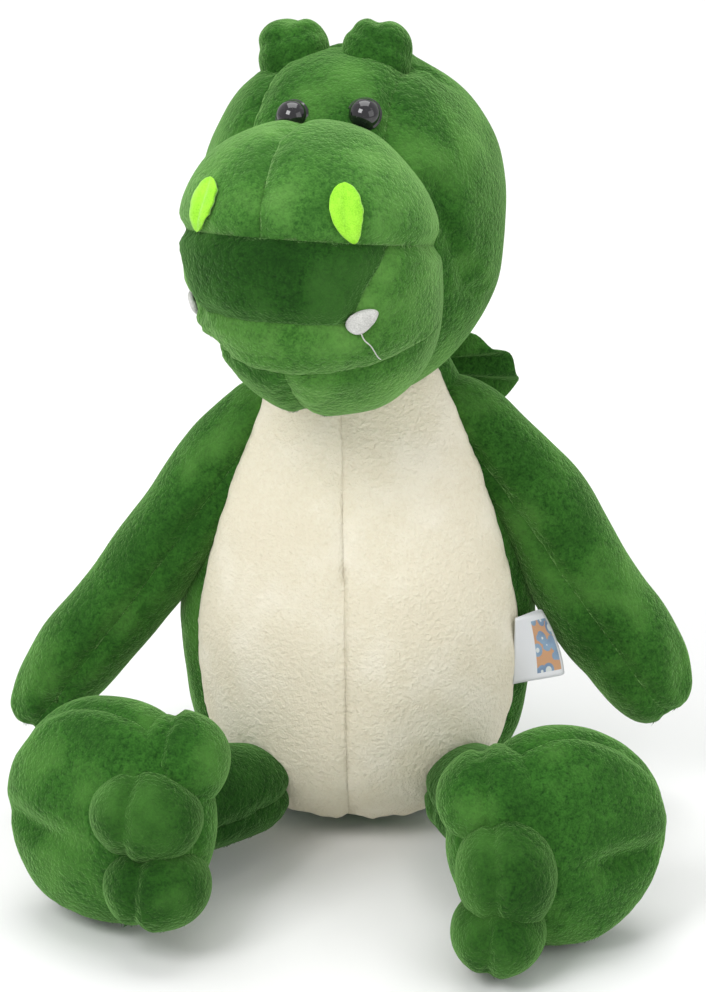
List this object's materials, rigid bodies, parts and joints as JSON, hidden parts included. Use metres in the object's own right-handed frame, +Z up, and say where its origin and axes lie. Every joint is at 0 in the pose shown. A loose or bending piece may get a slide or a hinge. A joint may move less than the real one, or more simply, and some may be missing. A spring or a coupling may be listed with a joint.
{
  "type": "stuffed dinosaur",
  "caption": "Seated stuffed dinosaur with a round head and muzzle, pear-shaped body, hanging arms, splayed legs with big round feet, a back crest and a tail.",
  "frame": {"origin": "middle of the flat underside of the seat panel, on the surface the toy sits on", "axes": "+Z up from the seat through the neck, -Y the way the belly and feet face, +X to the toy's own left"},
  "size_m": [0.2264, 0.2567, 0.2778],
  "materials": {
    "green_plush": "short pile plush",
    "dark_green_plush": "short pile plush",
    "light_green_plush": "short pile plush",
    "cream_plush": "short pile plush",
    "lime_felt": "felt",
    "white_felt": "felt",
    "satin_ribbon": "satin ribbon",
    "fibre_filling": "loose polyester fibre",
    "pellet_cloth": "thin nonwoven cloth",
    "black_plastic": "gloss",
    "washer_plastic": "matt"
  },
  "bodies": {
    "body": {"belly_panel_left": "cream_plush", "belly_panel_right": "cream_plush", "back_panel_left": "green_plush", "back_panel_right": "green_plush", "seat_panel": "green_plush", "body_stuffing": "fibre_filling", "pellet_bag": "pellet_cloth"},
    "neck": {"neck_gusset": "dark_green_plush"},
    "head": {"face_panel": "green_plush", "head_panel_left": "green_plush", "head_panel_right": "green_plush", "head_stuffing": "fibre_filling", "muzzle_top_left": "green_plush", "muzzle_top_right": "green_plush", "mouth_panel": "dark_green_plush", "lip_panels": "light_green_plush", "jaw_panel_left": "light_green_plush", "jaw_panel_right": "light_green_plush", "snout_stuffing": "fibre_filling", "eye_left": "black_plastic", "eye_right": "black_plastic", "eye_washers": "washer_plastic", "horn_left": "green_plush", "horn_right": "green_plush", "nostril_patches": "lime_felt", "teeth": "white_felt"},
    "shoulder_left": {"shoulder_wad_left": "fibre_filling"},
    "arm_left": {"arm_outer_panel_left": "green_plush", "arm_inner_panel_left": "green_plush", "arm_stuffing_left": "fibre_filling"},
    "hip_left": {"hip_wad_left": "fibre_filling"},
    "leg_left": {"leg_top_panel_left": "dark_green_plush", "leg_under_panel_left": "dark_green_plush", "leg_stuffing_left": "fibre_filling"},
    "foot_left": {"foot_upper_left": "green_plush", "foot_sole_left": "green_plush", "foot_stuffing_left": "fibre_filling", "toe_top_left": "green_plush", "toe_middle_left": "green_plush", "toe_bottom_left": "green_plush"},
    "shoulder_right": {"shoulder_wad_right": "fibre_filling"},
    "arm_right": {"arm_outer_panel_right": "green_plush", "arm_inner_panel_right": "green_plush", "arm_stuffing_right": "fibre_filling"},
    "hip_right": {"hip_wad_right": "fibre_filling"},
    "leg_right": {"leg_top_panel_right": "dark_green_plush", "leg_under_panel_right": "dark_green_plush", "leg_stuffing_right": "fibre_filling"},
    "foot_right": {"foot_upper_right": "green_plush", "foot_sole_right": "green_plush", "foot_stuffing_right": "fibre_filling", "toe_top_right": "green_plush", "toe_middle_right": "green_plush", "toe_bottom_right": "green_plush"},
    "tail": {"tail_panel_left": "green_plush", "tail_panel_right": "green_plush", "tail_stuffing": "fibre_filling"},
    "crest_top": {"crest_fin_top": "dark_green_plush"},
    "crest_low": {"crest_fin_low": "dark_green_plush"},
    "label": {"side_label": "satin_ribbon"}
  },
  "joints": [
    {"name": "neck_turn", "type": "hinge", "parent": "body", "child": "neck", "pos_m": [0, 0, 0.14], "axis": [0, 0, 1], "range_deg": [-30, 30], "stiffness_Nm_per_rad": 0.3},
    {"name": "head_nod", "type": "hinge", "parent": "neck", "child": "head", "pos_m": [0, 0, 0.14], "axis": [0.9511, -0.309, 0], "range_deg": [-12, 12], "stiffness_Nm_per_rad": 1.2},
    {"name": "shoulder_swing_left", "type": "hinge", "parent": "body", "child": "shoulder_left", "pos_m": [0.04079, 0, 0.129], "axis": [-1, 0, 0], "range_deg": [-20, 100], "stiffness_Nm_per_rad": 0.15},
    {"name": "shoulder_spread_left", "type": "hinge", "parent": "shoulder_left", "child": "arm_left", "pos_m": [0.04079, 0, 0.129], "axis": [0, -1, 0], "range_deg": [-3, 70], "stiffness_Nm_per_rad": 0.3},
    {"name": "hip_turn_left", "type": "hinge", "parent": "body", "child": "hip_left", "pos_m": [0.03774, -0.04918, 0.02216], "axis": [0, 0, 1], "range_deg": [-8, 15], "stiffness_Nm_per_rad": 0.2},
    {"name": "hip_lift_left", "type": "hinge", "parent": "hip_left", "child": "leg_left", "pos_m": [0.03774, -0.04918, 0.02216], "axis": [-0.9397, -0.342, 0], "range_deg": [-20, 45], "stiffness_Nm_per_rad": 0.3},
    {"name": "ankle_left", "type": "hinge", "parent": "leg_left", "child": "foot_left", "pos_m": [0.04989, -0.08257, 0.02794], "axis": [-0.9397, -0.342, 0], "range_deg": [-18, 18], "stiffness_Nm_per_rad": 0.2},
    {"name": "shoulder_swing_right", "type": "hinge", "parent": "body", "child": "shoulder_right", "pos_m": [-0.04079, 0, 0.129], "axis": [-1, 0, 0], "range_deg": [-20, 100], "stiffness_Nm_per_rad": 0.15},
    {"name": "shoulder_spread_right", "type": "hinge", "parent": "shoulder_right", "child": "arm_right", "pos_m": [-0.04079, 0, 0.129], "axis": [0, 1, 0], "range_deg": [-3, 70], "stiffness_Nm_per_rad": 0.3},
    {"name": "hip_turn_right", "type": "hinge", "parent": "body", "child": "hip_right", "pos_m": [-0.03774, -0.04918, 0.02216], "axis": [0, 0, -1], "range_deg": [-8, 15], "stiffness_Nm_per_rad": 0.2},
    {"name": "hip_lift_right", "type": "hinge", "parent": "hip_right", "child": "leg_right", "pos_m": [-0.03774, -0.04918, 0.02216], "axis": [-0.7071, 0.7071, 0], "range_deg": [-20, 45], "stiffness_Nm_per_rad": 0.3},
    {"name": "ankle_right", "type": "hinge", "parent": "leg_right", "child": "foot_right", "pos_m": [-0.06286, -0.07431, 0.02794], "axis": [-0.7071, 0.7071, 0], "range_deg": [-18, 18], "stiffness_Nm_per_rad": 0.2},
    {"name": "tail_wag", "type": "hinge", "parent": "body", "child": "tail", "pos_m": [0, 0.05949, 0.01533], "axis": [0, 0, 1], "range_deg": [-25, 25], "stiffness_Nm_per_rad": 0.1},
    {"name": "crest_top_flop", "type": "hinge", "parent": "body", "child": "crest_top", "pos_m": [0, 0.03365, 0.136], "axis": [0, -0.3486, 0.9373], "range_deg": [-6, 140], "stiffness_Nm_per_rad": 0.01},
    {"name": "crest_low_flop", "type": "hinge", "parent": "body", "child": "crest_low", "pos_m": [0, 0.05076, 0.09], "axis": [0, -0.3486, 0.9373], "range_deg": [-50, 60], "stiffness_Nm_per_rad": 0.01},
    {"name": "label_flip", "type": "hinge", "parent": "body", "child": "label", "pos_m": [0.05068, -0.02695, 0.05207], "axis": [0, 0, 1], "range_deg": [-15, 15], "stiffness_Nm_per_rad": 0.002}
  ]
}
